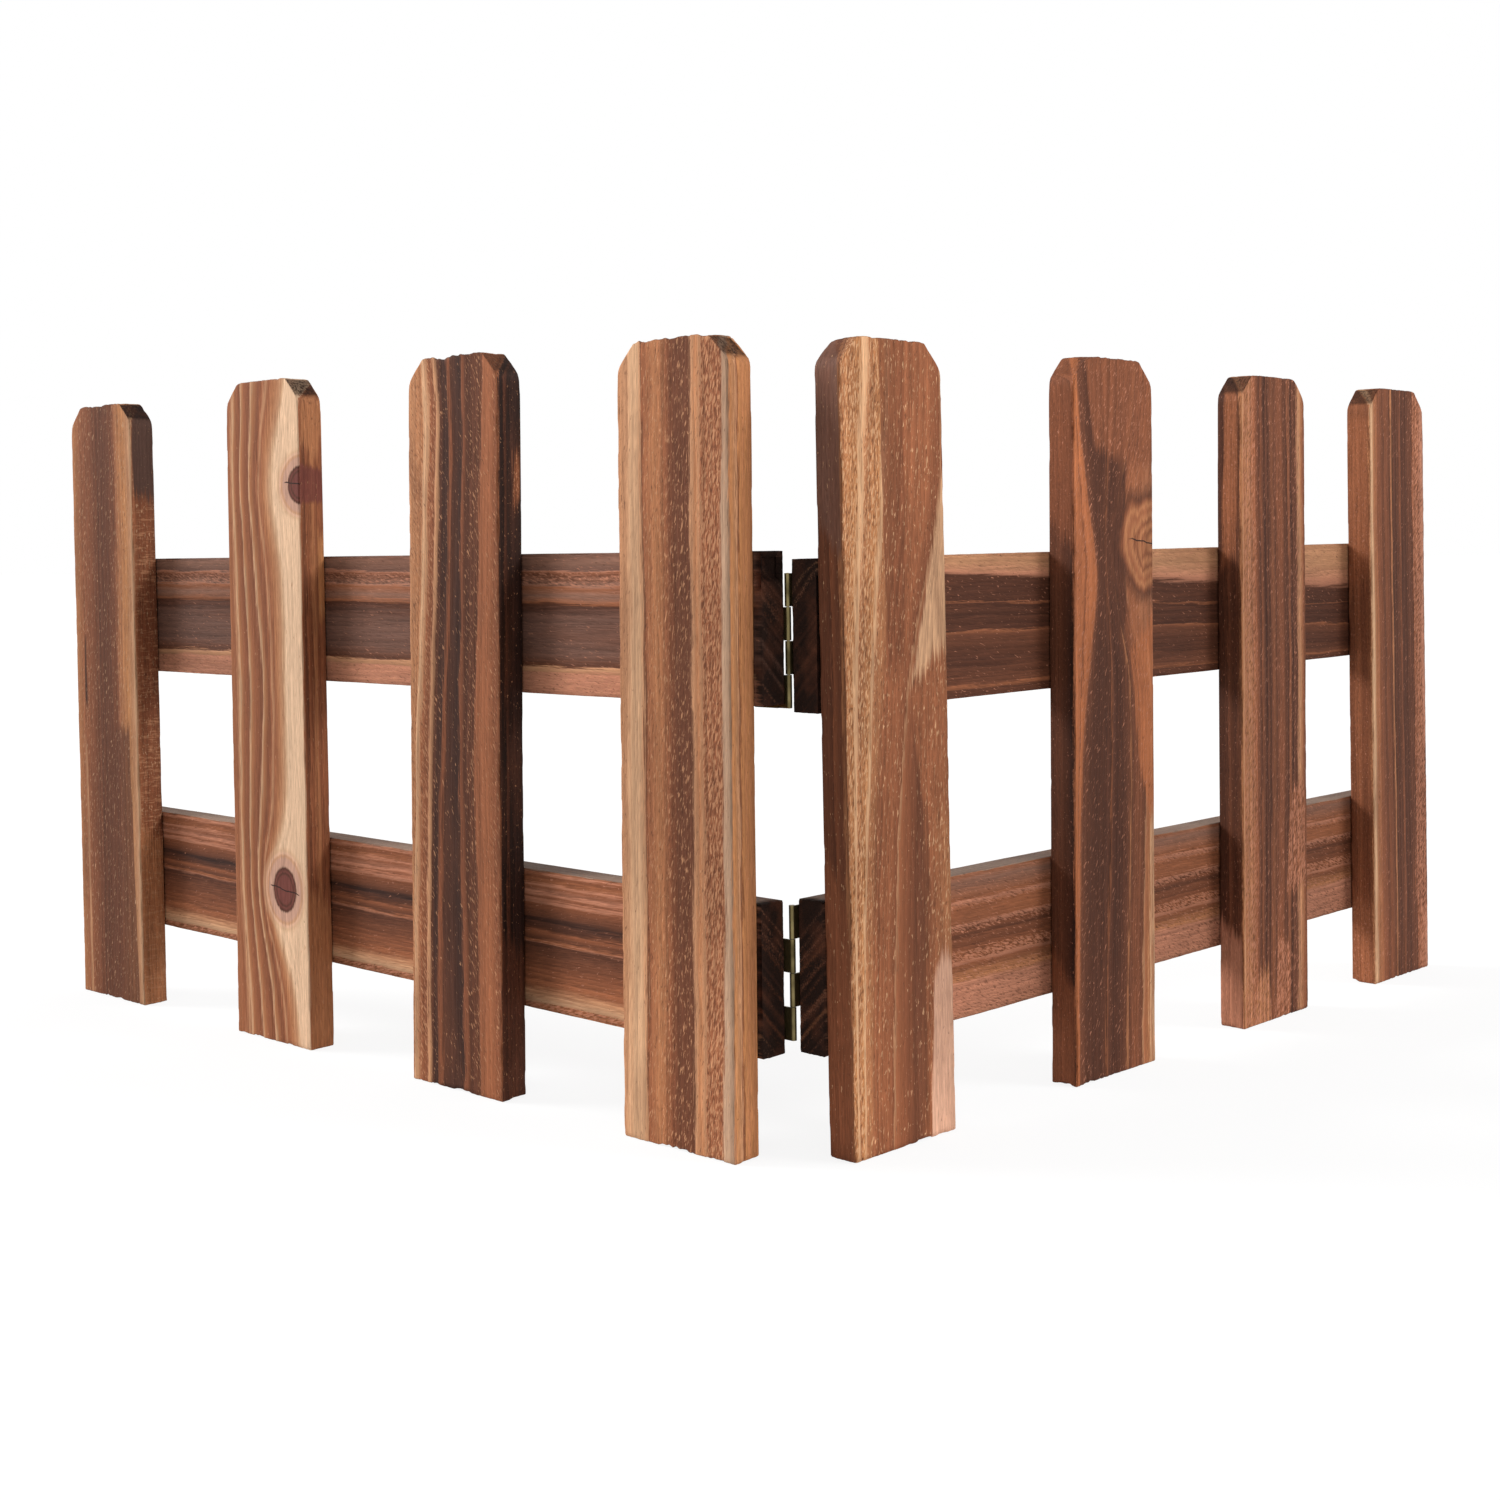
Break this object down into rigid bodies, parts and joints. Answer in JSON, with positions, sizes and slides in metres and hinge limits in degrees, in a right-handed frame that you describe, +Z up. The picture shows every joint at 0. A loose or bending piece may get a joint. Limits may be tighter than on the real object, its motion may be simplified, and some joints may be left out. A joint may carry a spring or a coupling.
{
  "type": "folding picket fence",
  "caption": "Small freestanding picket fence of burnt, brushed fir: dog-eared pickets on flat rails, in panels that fold at a corner on brass butt hinges.",
  "frame": {"origin": "on the floor, under the middle of the fence's box as it stands with its panels nearly at a right angle", "axes": "+X to the right seen from the front, across both panels; -Y to the front, where the corner points; +Z up"},
  "size_m": [0.714, 0.3376, 0.309],
  "materials": {
    "burnt_fir": "torched and wire-brushed",
    "brass_plated_steel": "brass plate, dulled",
    "hinge_pin_steel": "drawn wire"
  },
  "bodies": {
    "left_panel": {"left_picket_1": "burnt_fir", "left_picket_2": "burnt_fir", "left_picket_3": "burnt_fir", "left_picket_4": "burnt_fir", "left_upper_rail": "burnt_fir", "left_lower_rail": "burnt_fir", "upper_hinge_left_leaf": "brass_plated_steel", "lower_hinge_left_leaf": "brass_plated_steel", "upper_hinge_pin": "hinge_pin_steel", "lower_hinge_pin": "hinge_pin_steel"},
    "right_panel": {"right_picket_1": "burnt_fir", "right_picket_2": "burnt_fir", "right_picket_3": "burnt_fir", "right_picket_4": "burnt_fir", "right_upper_rail": "burnt_fir", "right_lower_rail": "burnt_fir", "upper_hinge_right_leaf": "brass_plated_steel", "lower_hinge_right_leaf": "brass_plated_steel"}
  },
  "joints": [
    {"name": "panel_fold", "type": "hinge", "parent": "left_panel", "child": "right_panel", "pos_m": [0.00504, -0.14972, 0], "axis": [0, 0, 1], "range_deg": [-87.5, 92.5]}
  ]
}
